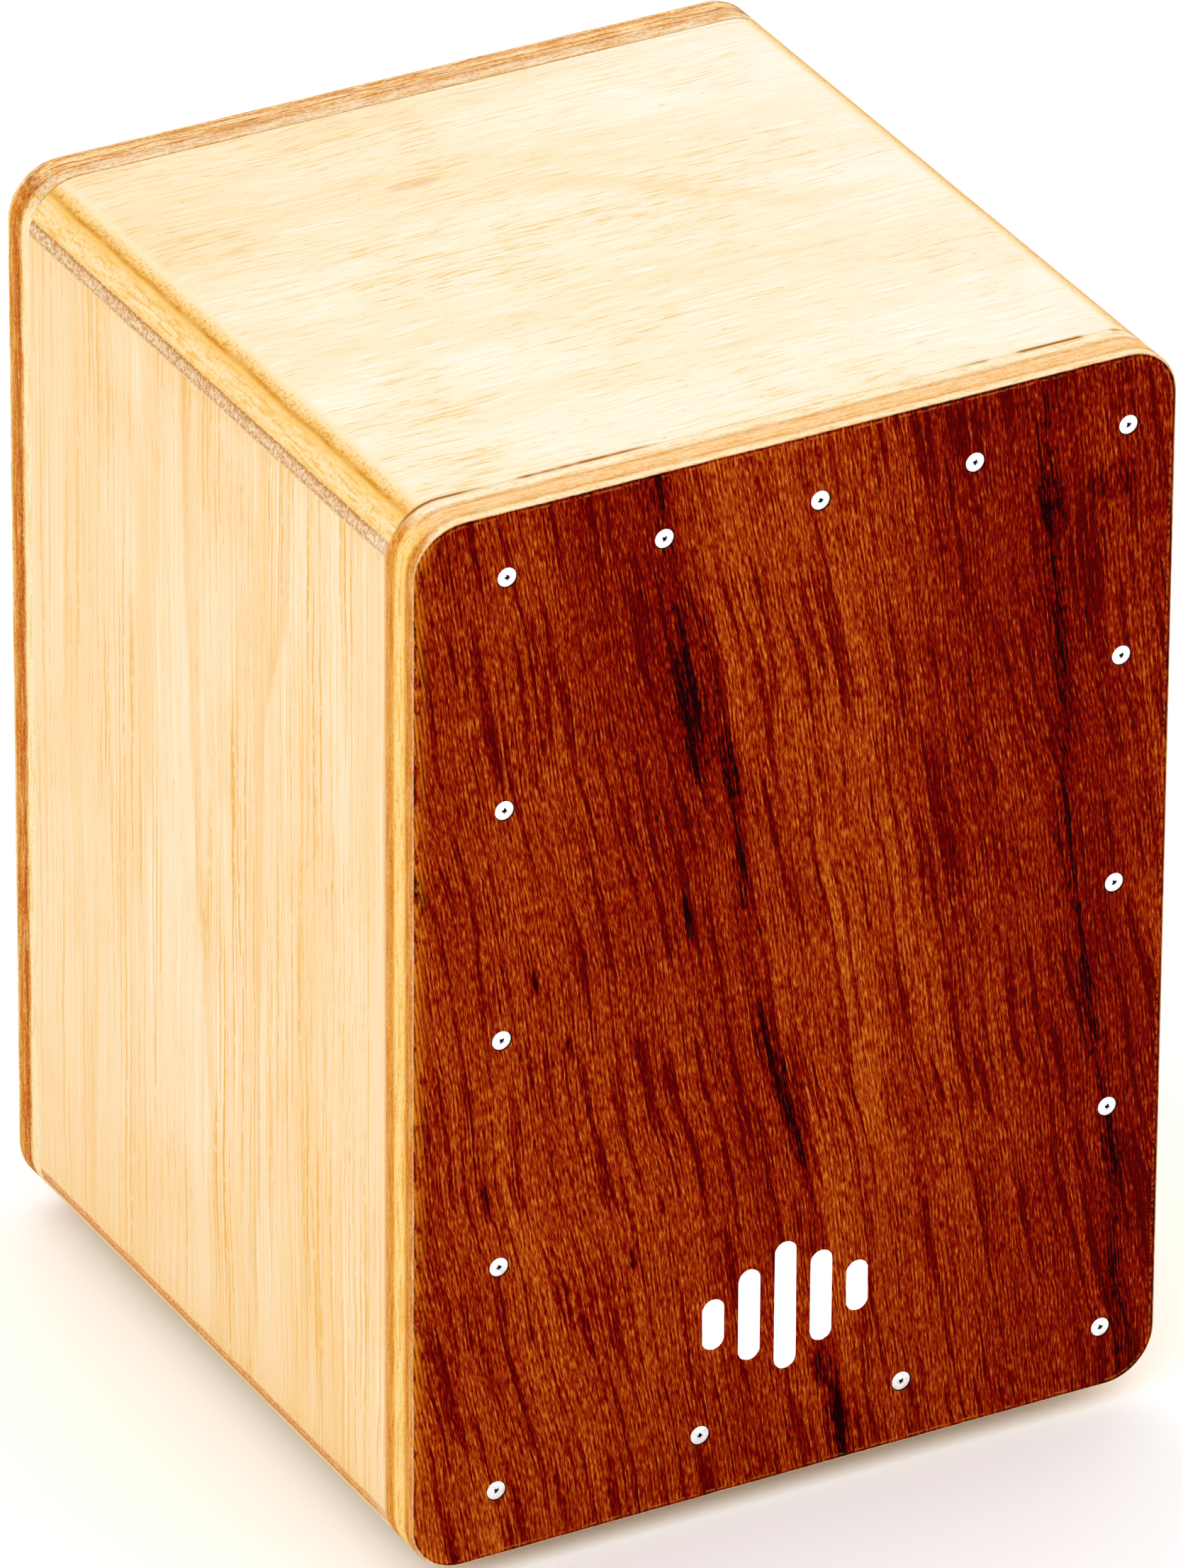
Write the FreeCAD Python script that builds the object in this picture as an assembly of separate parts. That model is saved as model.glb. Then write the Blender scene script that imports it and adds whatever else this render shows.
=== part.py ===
import FreeCAD, Part
import math
import os

# Cajon: a box drum that the player sits on and strikes on its front plate.
# Millimetres. +Z is up and the playing plate faces -Y, so +X is to the right of someone who faces the
# plate. The origin is on the floor, under the centre of the drum.

# ---- Driving dimensions ----
BODY_WIDTH = 220.0
BODY_HEIGHT = 305.5
BODY_DEPTH = 223.5
CORNER_RADIUS = 14.6

PANEL = 9.3
PLATE = 3.4
FRAME = 10.3
BACK = 12.6

FRAME_BORDER = 32.0
FRAME_INNER_RADIUS = 8.0
PLATE_EDGE_ROUND = 1.2
BACK_EDGE_ROUND = 0.8

SOUND_HOLE_RADIUS = 38.0
SOUND_HOLE_ROUND = 2.5
SOUND_HOLE_ABOVE_MIDDLE = 22.0

BATTEN = 16.0
BATTEN_CHAMFER = 5.0

# Ring of screws that holds the playing plate. It sits a little to the right and is slightly tilted.
SCREW_HALF_WIDTH = 89.4
SCREW_HALF_HEIGHT = 133.3
SCREW_SHIFT_X = 5.3
SCREW_SHIFT_Z = -0.5
SCREW_TILT = 0.5
TOP_SCREWS = 5
BOTTOM_SCREWS = 4
SIDE_SCREWS = 3
PLATE_SCREW_RADIUS = 1.5
PLATE_SCREW_HEAD = 2.65
PLATE_SCREW_LENGTH = 13.0
PLATE_SCREW_SINK = 0.3
RECESS_TURN_STEP = 37.0

# Snare: a crossbar behind the plate with two sets of coiled wires that lean on the plate's back.
CROSSBAR_DEPTH = 16.0
CROSSBAR_HEIGHT = 22.0
CROSSBAR_MIDDLE_Z = 190.0
CROSSBAR_BEHIND_FRAME = 2.0
CROSSBAR_EDGE_ROUND = 2.0
BLOCK_WIDTH = 20.0
BLOCK_DEPTH = 14.0
BLOCK_HEIGHT = 34.0
BLOCK_CHAMFER = 3.0
CROSSBAR_SCREW_RADIUS = 1.75
CROSSBAR_SCREW_HEAD = 3.4
CROSSBAR_SCREW_LENGTH = 27.0
CROSSBAR_SCREW_SINK = 0.3
CROSSBAR_SCREW_SPREAD = 10.0

SNARE_OFFSET_X = 37.0
SNARE_PLATE_LENGTH = 60.0
SNARE_PLATE_HEIGHT = 13.0
SNARE_PLATE_SHEET = 1.0
SNARE_PLATE_BELOW_TOP = 1.8
SNARE_STRANDS = 10
SNARE_STRAND_RADIUS = 1.0
SNARE_STRAND_PITCH = 5.4
SNARE_STRAND_RISE = 74.0
SNARE_TIP_CLEARANCE = 0.05
SNARE_SCREW_RADIUS = 1.25
SNARE_SCREW_HEAD = 2.4
SNARE_SCREW_HEAD_HEIGHT = 1.4
SNARE_SCREW_LENGTH = 11.0
SNARE_SCREW_SPREAD = 44.0
SNARE_SCREW_BELOW_MIDDLE = 3.0

# Feet
FOOT_HEIGHT = 6.0
FOOT_TOP_RADIUS = 10.0
FOOT_BOTTOM_RADIUS = 9.0
FOOT_INSET = 28.0
FOOT_EDGE_ROUND = 0.8
FOOT_RECESS_RADIUS = 4.2
FOOT_RECESS_DEPTH = 3.0
FOOT_SCREW_RADIUS = 1.75
FOOT_SCREW_HEAD = 3.5
FOOT_SCREW_HEAD_HEIGHT = 2.1
FOOT_SCREW_LENGTH = 11.5

# Proportions shared by every wood screw
THREAD_DEPTH_SHARE = 0.26
THREAD_PITCH_SHARE = 0.9
TIP_LENGTH_SHARE = 1.6
TIP_BLUNT_RADIUS = 0.15
RECESS_SPAN_SHARE = 0.30
RECESS_FOOT_SHARE = 0.35
RECESS_WIDTH_SHARE = 0.12
RECESS_DEPTH_SHARE = 0.45

# ---- Places worked out from the dimensions ----
FRONT_Y = -BODY_DEPTH / 2
REAR_Y = BODY_DEPTH / 2
PLATE_BACK_Y = FRONT_Y + PLATE
FRAME_BACK_Y = PLATE_BACK_Y + FRAME
BACK_FRONT_Y = REAR_Y - BACK
BASE_Z = FOOT_HEIGHT
TOP_Z = BASE_Z + BODY_HEIGHT
MIDDLE_Z = (BASE_Z + TOP_Z) / 2
HALF_WIDTH = BODY_WIDTH / 2
INNER_X = HALF_WIDTH - PANEL
FLOOR_Z = BASE_Z + PANEL
CEILING_Z = TOP_Z - PANEL
SOUND_HOLE_Z = MIDDLE_Z + SOUND_HOLE_ABOVE_MIDDLE
CROSSBAR_FRONT_Y = FRAME_BACK_Y + CROSSBAR_BEHIND_FRAME
CROSSBAR_REAR_Y = CROSSBAR_FRONT_Y + CROSSBAR_DEPTH
CROSSBAR_TOP_Z = CROSSBAR_MIDDLE_Z + CROSSBAR_HEIGHT / 2
SNARE_PLATE_TOP_Z = CROSSBAR_TOP_Z - SNARE_PLATE_BELOW_TOP

UP = FreeCAD.Vector(0, 0, 1)
BACKWARD = FreeCAD.Vector(0, 1, 0)
SIDEWAYS = FreeCAD.Vector(1, 0, 0)


# ---- Helpers ----
def box(low, high):
    """A block between two opposite corners."""
    size = [top - bottom for bottom, top in zip(low, high)]
    return Part.makeBox(*size, FreeCAD.Vector(*low))


def rod(radius, start, direction, length):
    """A round rod that starts at a point and runs along a direction."""
    return Part.makeCylinder(radius, length, FreeCAD.Vector(*start), direction)


def rounded_prism(half_x, low_z, high_z, radius, front_y, back_y):
    """A block along Y whose four long edges are rounded."""
    block = box((-half_x, front_y, low_z), (half_x, back_y, high_z))
    long_edges = [edge for edge in block.Edges if abs(edge.tangentAt(edge.FirstParameter).y) > 0.99]
    return block.makeFillet(radius, long_edges)


def edges_on_plane(shape, y):
    """The edges of a shape that lie wholly in one plane across Y."""
    near = 1e-4
    return [edge for edge in shape.Edges
            if abs(edge.BoundBox.YMin - y) < near and abs(edge.BoundBox.YMax - y) < near]


def export(shape, node):
    """Write one sub-part to its own STEP file."""
    shape.exportStep(os.path.join("parts", node + ".step"))


# ---- Wood screws ----
def thread_points(radius, start, length):
    """Profile points of a ridged shank that ends in a point, from its start to its tip."""
    root = radius * (1 - THREAD_DEPTH_SHARE)
    pitch = radius * THREAD_PITCH_SHARE
    tip_start = length - radius * TIP_LENGTH_SHARE
    ridges = int((tip_start - start) / pitch)
    points = []
    for ridge in range(ridges):
        depth = start + ridge * pitch
        points.append((radius, depth))
        points.append((root, depth + pitch / 2))
    points.append((radius, start + ridges * pitch))
    points.append((TIP_BLUNT_RADIUS, length))
    points.append((0, length))
    return points


def cross_recess(head_radius, face_depth):
    """The tapered cross that a driver fits, cut into a head whose face is at face_depth."""
    span = head_radius * RECESS_SPAN_SHARE
    foot = span * RECESS_FOOT_SHARE
    width = head_radius * RECESS_WIDTH_SHARE
    depth = face_depth + head_radius * RECESS_DEPTH_SHARE
    above = face_depth - head_radius
    corners = [(-span, above), (span, above), (span, face_depth), (foot, depth), (-foot, depth),
               (-span, face_depth)]
    wall = Part.makePolygon([FreeCAD.Vector(x, y, -width) for x, y in corners + corners[:1]])
    wing = Part.Face(wall).extrude(UP * (2 * width))
    other = wing.copy()
    other.rotate(FreeCAD.Vector(), BACKWARD, 90)
    return wing.fuse(other)


def revolve_profile(points, dome_radius, dome_height, dome_depth):
    """A solid turned about Y: a dome over the head, then the profile below it."""
    rim = FreeCAD.Vector(dome_radius, dome_depth, 0)
    crown = FreeCAD.Vector(0, dome_depth - dome_height, 0)
    sphere = (dome_radius ** 2 + dome_height ** 2) / (2 * dome_height)
    middle_x = dome_radius / 2
    middle_drop = sphere - math.sqrt(sphere ** 2 - middle_x ** 2)
    middle = FreeCAD.Vector(middle_x, crown.y + middle_drop, 0)
    edges = [Part.Arc(crown, middle, rim).toShape()]
    path = [rim] + [FreeCAD.Vector(x, y, 0) for x, y in points] + [crown]
    for start, end in zip(path, path[1:]):
        edges.append(Part.makeLine(start, end))
    return Part.Face(Part.Wire(edges)).revolve(FreeCAD.Vector(), BACKWARD, 360)


def countersunk_screw(radius, head_radius, length, sink):
    """A raised countersunk screw along +Y. Its crown is level with y = 0."""
    neck = sink + head_radius - radius
    solid = revolve_profile(thread_points(radius, neck, length), head_radius, sink, sink)
    return solid.cut(cross_recess(head_radius, 0))


def pan_head_screw(radius, head_radius, head_height, length):
    """A pan head screw along +Y. The underside of its head is at y = 0."""
    brim = head_height / 2
    points = [(head_radius, 0), (radius, 0)] + thread_points(radius, radius / 2, length)
    solid = revolve_profile(points, head_radius, head_height - brim, -brim)
    return solid.cut(cross_recess(head_radius, -head_height))


def countersunk_hole(radius, head_radius, length, sink, place):
    """The hole for a countersunk screw along +Y whose crown is level with the place."""
    mouth = head_radius + sink
    cone = Part.makeCone(mouth, radius, mouth - radius, FreeCAD.Vector(*place), BACKWARD)
    return cone.fuse(rod(radius, place, BACKWARD, length))


def placed(shape, place, turn=0.0):
    """A copy of a shape made at the origin, turned about Y and moved to its place."""
    copy = shape.copy()
    copy.rotate(FreeCAD.Vector(), BACKWARD, turn)
    copy.translate(FreeCAD.Vector(*place))
    return copy


# ---- Body ----
def body_shell(front_y, back_y):
    """The outer form of the box between two planes across Y."""
    return rounded_prism(HALF_WIDTH, BASE_Z, TOP_Z, CORNER_RADIUS, front_y, back_y)


def horizontal_panel(low_z, high_z):
    """The top or the bottom panel, full width, with its long edges rounded."""
    slab = box((-HALF_WIDTH, FRAME_BACK_Y, low_z), (HALF_WIDTH, BACK_FRONT_Y, high_z))
    return body_shell(FRAME_BACK_Y, BACK_FRONT_Y).common(slab)


def side_panel(low_x, high_x):
    """A side panel, which stands between the bottom panel and the top panel."""
    slab = box((low_x, FRAME_BACK_Y, FLOOR_Z), (high_x, BACK_FRONT_Y, CEILING_Z))
    return body_shell(FRAME_BACK_Y, BACK_FRONT_Y).common(slab)


def plate_screw_places():
    """Where each playing plate screw's crown lies on the front face."""
    corners_and_top = [(-1 + 2 * i / (TOP_SCREWS - 1), 1) for i in range(TOP_SCREWS)]
    bottom = [(-1 + 2 * i / (BOTTOM_SCREWS - 1), -1) for i in range(BOTTOM_SCREWS)]
    rows = [1 - 2 * (i + 1) / (SIDE_SCREWS + 1) for i in range(SIDE_SCREWS)]
    sides = [(side, row) for side in (-1, 1) for row in rows]
    tilt = math.radians(SCREW_TILT)
    places = []
    for across, up in corners_and_top + sides + bottom:
        x = across * SCREW_HALF_WIDTH
        z = up * SCREW_HALF_HEIGHT
        turned_x = x * math.cos(tilt) + z * math.sin(tilt)
        turned_z = z * math.cos(tilt) - x * math.sin(tilt)
        places.append((turned_x + SCREW_SHIFT_X, FRONT_Y, MIDDLE_Z + turned_z + SCREW_SHIFT_Z))
    return places


def plate_screw_holes():
    """The countersunk holes of all the playing plate screws."""
    return [countersunk_hole(PLATE_SCREW_RADIUS, PLATE_SCREW_HEAD, PLATE_SCREW_LENGTH, PLATE_SCREW_SINK,
                             place) for place in plate_screw_places()]


def playing_plate():
    """The thin front plate that is struck, with a softened front edge."""
    plate = body_shell(FRONT_Y, PLATE_BACK_Y)
    plate = plate.makeFillet(PLATE_EDGE_ROUND, edges_on_plane(plate, FRONT_Y))
    return plate.cut(plate_screw_holes())


def front_frame():
    """The ring behind the playing plate that the plate is screwed to."""
    ring = body_shell(PLATE_BACK_Y, FRAME_BACK_Y)
    window = rounded_prism(HALF_WIDTH - FRAME_BORDER, BASE_Z + FRAME_BORDER, TOP_Z - FRAME_BORDER,
                           FRAME_INNER_RADIUS, PLATE_BACK_Y, FRAME_BACK_Y)
    return ring.cut(window).cut(plate_screw_holes())


def plate_screws():
    """All the playing plate screws, each with its recess turned its own way."""
    screw = countersunk_screw(PLATE_SCREW_RADIUS, PLATE_SCREW_HEAD, PLATE_SCREW_LENGTH, PLATE_SCREW_SINK)
    solids = [placed(screw, place, i * RECESS_TURN_STEP) for i, place in enumerate(plate_screw_places())]
    return Part.makeCompound(solids)


def back_panel():
    """The back panel with its round sound hole and softened edges."""
    panel = body_shell(BACK_FRONT_Y, REAR_Y)
    panel = panel.makeFillet(BACK_EDGE_ROUND, edges_on_plane(panel, REAR_Y))
    panel = panel.cut(rod(SOUND_HOLE_RADIUS, (0, BACK_FRONT_Y, SOUND_HOLE_Z), BACKWARD, BACK))
    rims = [edge for edge in edges_on_plane(panel, REAR_Y) + edges_on_plane(panel, BACK_FRONT_Y)
            if abs(edge.BoundBox.XLength - 2 * SOUND_HOLE_RADIUS) < 1 and edge.Closed]
    return panel.makeFillet(SOUND_HOLE_ROUND, rims)


def corner_batten(side, level):
    """A glue batten in one long inside corner. side and level are -1 or 1."""
    wall_x = side * INNER_X
    wall_z = CEILING_Z if level > 0 else FLOOR_Z
    corners = [(0, 0), (BATTEN, 0), (BATTEN, BATTEN - BATTEN_CHAMFER), (BATTEN - BATTEN_CHAMFER, BATTEN),
               (0, BATTEN)]
    points = [FreeCAD.Vector(wall_x - side * u, FRAME_BACK_Y, wall_z - level * v)
              for u, v in corners + corners[:1]]
    return Part.Face(Part.makePolygon(points)).extrude(BACKWARD * (BACK_FRONT_Y - FRAME_BACK_Y))


# ---- Snare ----
def crossbar_screw_places():
    """Where the screws through the crossbar's ends have their crowns."""
    x = INNER_X - BLOCK_WIDTH / 2
    half = CROSSBAR_SCREW_SPREAD / 2
    return [(side * x, CROSSBAR_FRONT_Y, CROSSBAR_MIDDLE_Z + level * half)
            for side in (-1, 1) for level in (-1, 1)]


def crossbar_screw_holes():
    """The countersunk holes of the crossbar screws."""
    return [countersunk_hole(CROSSBAR_SCREW_RADIUS, CROSSBAR_SCREW_HEAD, CROSSBAR_SCREW_LENGTH,
                             CROSSBAR_SCREW_SINK, place) for place in crossbar_screw_places()]


def snare_screw_places():
    """Where the underside of each snare screw's head meets its snare plate."""
    y = CROSSBAR_FRONT_Y - SNARE_PLATE_SHEET
    z = CROSSBAR_MIDDLE_Z - SNARE_SCREW_BELOW_MIDDLE
    return [(side * SNARE_OFFSET_X + end * SNARE_SCREW_SPREAD / 2, y, z)
            for side in (-1, 1) for end in (-1, 1)]


def snare_screw_holes():
    """The plain holes of the snare screws, through plate and into the crossbar."""
    return [rod(SNARE_SCREW_RADIUS, place, BACKWARD, SNARE_SCREW_LENGTH) for place in snare_screw_places()]


def snare_crossbar():
    """The wooden bar that carries the snares, with its long edges rounded."""
    bar = box((-INNER_X, CROSSBAR_FRONT_Y, CROSSBAR_MIDDLE_Z - CROSSBAR_HEIGHT / 2),
              (INNER_X, CROSSBAR_REAR_Y, CROSSBAR_TOP_Z))
    long_edges = [edge for edge in bar.Edges if abs(edge.tangentAt(edge.FirstParameter).x) > 0.99]
    bar = bar.makeFillet(CROSSBAR_EDGE_ROUND, long_edges)
    return bar.cut(crossbar_screw_holes() + snare_screw_holes())


def crossbar_block(side):
    """The block glued to a side panel that the crossbar is screwed to."""
    wall_x = side * INNER_X
    free_x = side * (INNER_X - BLOCK_WIDTH)
    low = (min(wall_x, free_x), CROSSBAR_REAR_Y, CROSSBAR_MIDDLE_Z - BLOCK_HEIGHT / 2)
    high = (max(wall_x, free_x), CROSSBAR_REAR_Y + BLOCK_DEPTH, CROSSBAR_MIDDLE_Z + BLOCK_HEIGHT / 2)
    block = box(low, high)
    free_edges = [edge for edge in block.Edges if edge.BoundBox.XLength < 1e-4
                  and abs(edge.BoundBox.XMin - free_x) < 1e-4]
    return block.makeChamfer(BLOCK_CHAMFER, free_edges).cut(crossbar_screw_holes())


def crossbar_screws():
    """The screws that join the crossbar to its blocks."""
    screw = countersunk_screw(CROSSBAR_SCREW_RADIUS, CROSSBAR_SCREW_HEAD, CROSSBAR_SCREW_LENGTH,
                              CROSSBAR_SCREW_SINK)
    return Part.makeCompound([placed(screw, place) for place in crossbar_screw_places()])


def snare_strands(side):
    """One set of strands, each a slim rod of the coil's outer size that leans forward to the plate."""
    low_y = CROSSBAR_FRONT_Y - SNARE_PLATE_SHEET - SNARE_STRAND_RADIUS
    high_y = PLATE_BACK_Y + SNARE_STRAND_RADIUS + SNARE_TIP_CLEARANCE
    lean = (high_y - low_y) / SNARE_STRAND_RISE
    direction = FreeCAD.Vector(0, lean, 1)
    start_z = SNARE_PLATE_TOP_Z - SNARE_STRAND_RADIUS
    start_y = low_y - lean * SNARE_STRAND_RADIUS
    length = (SNARE_STRAND_RISE + SNARE_STRAND_RADIUS) * direction.Length
    first = side * SNARE_OFFSET_X - SNARE_STRAND_PITCH * (SNARE_STRANDS - 1) / 2
    below = box((-HALF_WIDTH, FRONT_Y, BASE_Z), (HALF_WIDTH, REAR_Y, SNARE_PLATE_TOP_Z))
    rods = [rod(SNARE_STRAND_RADIUS, (first + i * SNARE_STRAND_PITCH, start_y, start_z), direction,
                length).cut(below) for i in range(SNARE_STRANDS)]
    return Part.makeCompound([strand.Solids[0] for strand in rods])


def snare_plate(side):
    """The folded steel strip that the strands are fixed in, with its two screw holes."""
    half = SNARE_PLATE_LENGTH / 2
    middle = side * SNARE_OFFSET_X
    top = SNARE_PLATE_TOP_Z
    back = CROSSBAR_FRONT_Y
    face = back - SNARE_PLATE_SHEET
    web = box((middle - half, face, top - SNARE_PLATE_HEIGHT), (middle + half, back, top))
    fold = box((middle - half, face - 2 * SNARE_STRAND_RADIUS, top - 2 * SNARE_PLATE_SHEET),
               (middle + half, face, top))
    rounding = [edge for edge in fold.Edges if edge.BoundBox.XLength > SNARE_PLATE_HEIGHT
                and abs(edge.BoundBox.YMin - fold.BoundBox.YMin) < 1e-4]
    strip = web.fuse(fold.makeFillet(SNARE_PLATE_SHEET / 2, rounding)).removeSplitter()
    return strip.cut(snare_screw_holes())


def snare_screws():
    """The pan head screws that hold both snare plates."""
    screw = pan_head_screw(SNARE_SCREW_RADIUS, SNARE_SCREW_HEAD, SNARE_SCREW_HEAD_HEIGHT,
                           SNARE_SCREW_LENGTH)
    return Part.makeCompound([placed(screw, place) for place in snare_screw_places()])


# ---- Feet ----
def foot_centres():
    """The feet's centres on the floor, by name."""
    x = HALF_WIDTH - FOOT_INSET
    y = BODY_DEPTH / 2 - FOOT_INSET
    return {"front_left_foot": (-x, -y), "front_right_foot": (x, -y),
            "rear_left_foot": (-x, y), "rear_right_foot": (x, y)}


def rubber_foot(x, y):
    """A tapered rubber foot with a recess underneath for its screw."""
    foot = Part.makeCone(FOOT_BOTTOM_RADIUS, FOOT_TOP_RADIUS, FOOT_HEIGHT, FreeCAD.Vector(x, y, 0), UP)
    lower_rim = [edge for edge in foot.Edges if edge.Closed and edge.BoundBox.ZMax < 1e-3]
    foot = foot.makeFillet(FOOT_EDGE_ROUND, lower_rim)
    recess = rod(FOOT_RECESS_RADIUS, (x, y, 0), UP, FOOT_RECESS_DEPTH)
    return foot.cut([recess, rod(FOOT_SCREW_RADIUS, (x, y, 0), UP, FOOT_HEIGHT)])


def foot_screws():
    """The screws that hold the feet, driven from below."""
    screw = pan_head_screw(FOOT_SCREW_RADIUS, FOOT_SCREW_HEAD, FOOT_SCREW_HEAD_HEIGHT, FOOT_SCREW_LENGTH)
    screw.rotate(FreeCAD.Vector(), SIDEWAYS, 90)
    return Part.makeCompound([placed(screw, (x, y, FOOT_RECESS_DEPTH)) for x, y in foot_centres().values()])


def foot_screw_holes():
    """The pilot holes of the foot screws in the bottom panel."""
    return [rod(FOOT_SCREW_RADIUS, (x, y, FOOT_RECESS_DEPTH), UP, FOOT_SCREW_LENGTH)
            for x, y in foot_centres().values()]


# ---- Assembly ----
def build():
    """Every node of the drum, by name."""
    nodes = {
        "playing_plate": playing_plate(),
        "playing_plate_screws": plate_screws(),
        "front_frame": front_frame(),
        "top_panel": horizontal_panel(CEILING_Z, TOP_Z),
        "bottom_panel": horizontal_panel(BASE_Z, FLOOR_Z).cut(foot_screw_holes()),
        "left_side_panel": side_panel(-HALF_WIDTH, -INNER_X),
        "right_side_panel": side_panel(INNER_X, HALF_WIDTH),
        "back_panel": back_panel(),
        "snare_crossbar": snare_crossbar(),
        "crossbar_screws": crossbar_screws(),
        "snare_screws": snare_screws(),
        "foot_screws": foot_screws(),
    }
    for side_name, side in (("left", -1), ("right", 1)):
        nodes[side_name + "_crossbar_block"] = crossbar_block(side)
        nodes[side_name + "_snare_plate"] = snare_plate(side)
        nodes[side_name + "_snare_wires"] = snare_strands(side)
        for level_name, level in (("upper", 1), ("lower", -1)):
            nodes[level_name + "_" + side_name + "_batten"] = corner_batten(side, level)
    for name, (x, y) in foot_centres().items():
        nodes[name] = rubber_foot(x, y)
    return nodes


os.makedirs("parts", exist_ok=True)
for node_name, node_shape in build().items():
    export(node_shape, node_name)
    print(node_name, "valid" if node_shape.isValid() else "INVALID", len(node_shape.Solids), "solids",
          round(node_shape.Volume), "mm3")
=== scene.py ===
import math
import random

import bmesh
import bpy
from mathutils import Matrix, Vector


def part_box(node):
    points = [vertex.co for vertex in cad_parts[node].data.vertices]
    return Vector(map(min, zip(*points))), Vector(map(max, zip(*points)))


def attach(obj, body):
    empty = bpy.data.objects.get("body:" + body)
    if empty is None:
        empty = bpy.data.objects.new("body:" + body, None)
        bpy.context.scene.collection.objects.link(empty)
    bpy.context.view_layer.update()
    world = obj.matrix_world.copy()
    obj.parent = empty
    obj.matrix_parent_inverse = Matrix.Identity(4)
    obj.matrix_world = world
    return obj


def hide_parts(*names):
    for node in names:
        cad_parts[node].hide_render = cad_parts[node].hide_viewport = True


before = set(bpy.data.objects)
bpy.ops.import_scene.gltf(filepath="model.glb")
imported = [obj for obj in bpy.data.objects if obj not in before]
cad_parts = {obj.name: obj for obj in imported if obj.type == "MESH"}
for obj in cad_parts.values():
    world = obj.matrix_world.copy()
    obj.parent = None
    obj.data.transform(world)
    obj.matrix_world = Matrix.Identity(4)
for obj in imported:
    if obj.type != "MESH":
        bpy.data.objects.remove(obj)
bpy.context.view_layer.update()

MM = 0.001


def mm_box(node):
    """A node's lowest and highest corners in mm."""
    low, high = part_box(node)
    return low / MM, high / MM


# ---- Places in mm, read from the frame ----
plate_low, plate_high = mm_box("playing_plate")
FRONT = plate_low.y
BASE = plate_low.z
TOP = plate_high.z
HALF_WIDTH = plate_high.x
MIDDLE = (BASE + TOP) / 2
HALF_HEIGHT = (TOP - BASE) / 2
FRAME_BACK = mm_box("front_frame")[1].y
BACK_FRONT = mm_box("back_panel")[0].y
REAR = mm_box("back_panel")[1].y
PANEL = TOP - mm_box("top_panel")[0].z
INNER_X = mm_box("snare_crossbar")[1].x

# ---- View, light and floor ----
VIEW_AZIMUTH = 28.586
VIEW_ELEVATION = 29.357
VIEW_ROLL = 0.343
VIEW_DISTANCE = 4.4973
VIEW_LENS = 397.19
SENSOR = 36.0
AIM = Vector((1.08, -1.94, MIDDLE - 2.11)) * MM
SKY_STRENGTH = 1.1
FLOOR_SIZE = 24.0
# Softboxes as (name, place in metres, side in metres, power in watts).
SOFTBOXES = (
    ("key_light", (-1.9, -1.7, 2.0), 1.6, 17),
    ("fill_light", (2.4, -1.2, 1.6), 1.8, 8),
    ("rear_light", (0.6, 2.4, 2.2), 1.8, 7),
)

# ---- Layers of the wood, in mm ----
FACE_VENEER = 0.15
BACK_VENEER = 0.3
BACK_OUTER_PLY = 7.4
ROUND_OVER = 14.6
SANDED_THROUGH = 14.2
WOOD_BRIGHTNESS = 0.83


# ---- A small kit that turns formulas into shader nodes ----
# Sockets of the Mix node when it mixes colours: several share one name, so they go by number.
MIX_SHARE = 0
MIX_FIRST = 6
MIX_SECOND = 7
MIX_COLOUR = 2


def srgb(red, green, blue):
    """A colour given in display values from 0 to 255, as linear values with full alpha."""
    shares = [value / 255 for value in (red, green, blue)]
    return tuple(s / 12.92 if s <= 0.04045 else ((s + 0.055) / 1.055) ** 2.4 for s in shares) + (1.0,)


class Field:
    """A number that varies over a surface. Arithmetic on it adds Math nodes to its shader."""

    def __init__(self, shader, socket):
        self.shader = shader
        self.socket = socket

    def math(self, operation, other=None):
        return self.shader.math(operation, self, other)

    def __add__(self, other):
        return self.math("ADD", other)

    def __sub__(self, other):
        return self.math("SUBTRACT", other)

    def __rsub__(self, other):
        return self.shader.math("SUBTRACT", other, self)

    def __mul__(self, other):
        return self.math("MULTIPLY", other)

    def __truediv__(self, other):
        return self.math("DIVIDE", other)

    __radd__ = __add__

    def absolute(self):
        return self.math("ABSOLUTE")

    def sine(self):
        return self.math("SINE")

    def least(self, other):
        return self.math("MINIMUM", other)

    def most(self, other):
        return self.math("MAXIMUM", other)

    def rise(self, low, high):
        """Goes smoothly from 0 at low to 1 at high."""
        node = self.shader.add("ShaderNodeMapRange", interpolation_type="SMOOTHSTEP")
        self.shader.feed(node.inputs["Value"], self)
        node.inputs["From Min"].default_value = low
        node.inputs["From Max"].default_value = high
        return Field(self.shader, node.outputs["Result"])

    def fall(self, low, high):
        """Goes smoothly from 1 at low to 0 at high."""
        return 1 - self.rise(low, high)

    def near(self, centre, reach):
        """1 at a centre, falling smoothly to 0 at a reach on both sides."""
        return (self - centre).absolute().fall(0, reach)

    def follow(self, points):
        """A smooth curve through (input, output) points, held flat beyond its ends."""
        inputs = [point[0] for point in points]
        outputs = [point[1] for point in points]
        low_in, high_in = min(inputs), max(inputs)
        low_out, high_out = min(outputs), max(outputs)
        span = (high_out - low_out) or 1.0
        scaled = self.shader.add("ShaderNodeMapRange")
        self.shader.feed(scaled.inputs["Value"], self)
        scaled.inputs["From Min"].default_value = low_in
        scaled.inputs["From Max"].default_value = high_in
        node = self.shader.add("ShaderNodeFloatCurve")
        self.shader.feed(node.inputs["Value"], Field(self.shader, scaled.outputs["Result"]))
        curve = node.mapping.curves[0]
        places = sorted(((i - low_in) / (high_in - low_in), (o - low_out) / span) for i, o in points)
        while len(curve.points) < len(places):
            curve.points.new(0.5, 0.5)
        for point, place in zip(curve.points, places):
            point.location = place
        node.mapping.update()
        return Field(self.shader, node.outputs["Value"]) * span + low_out


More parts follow.
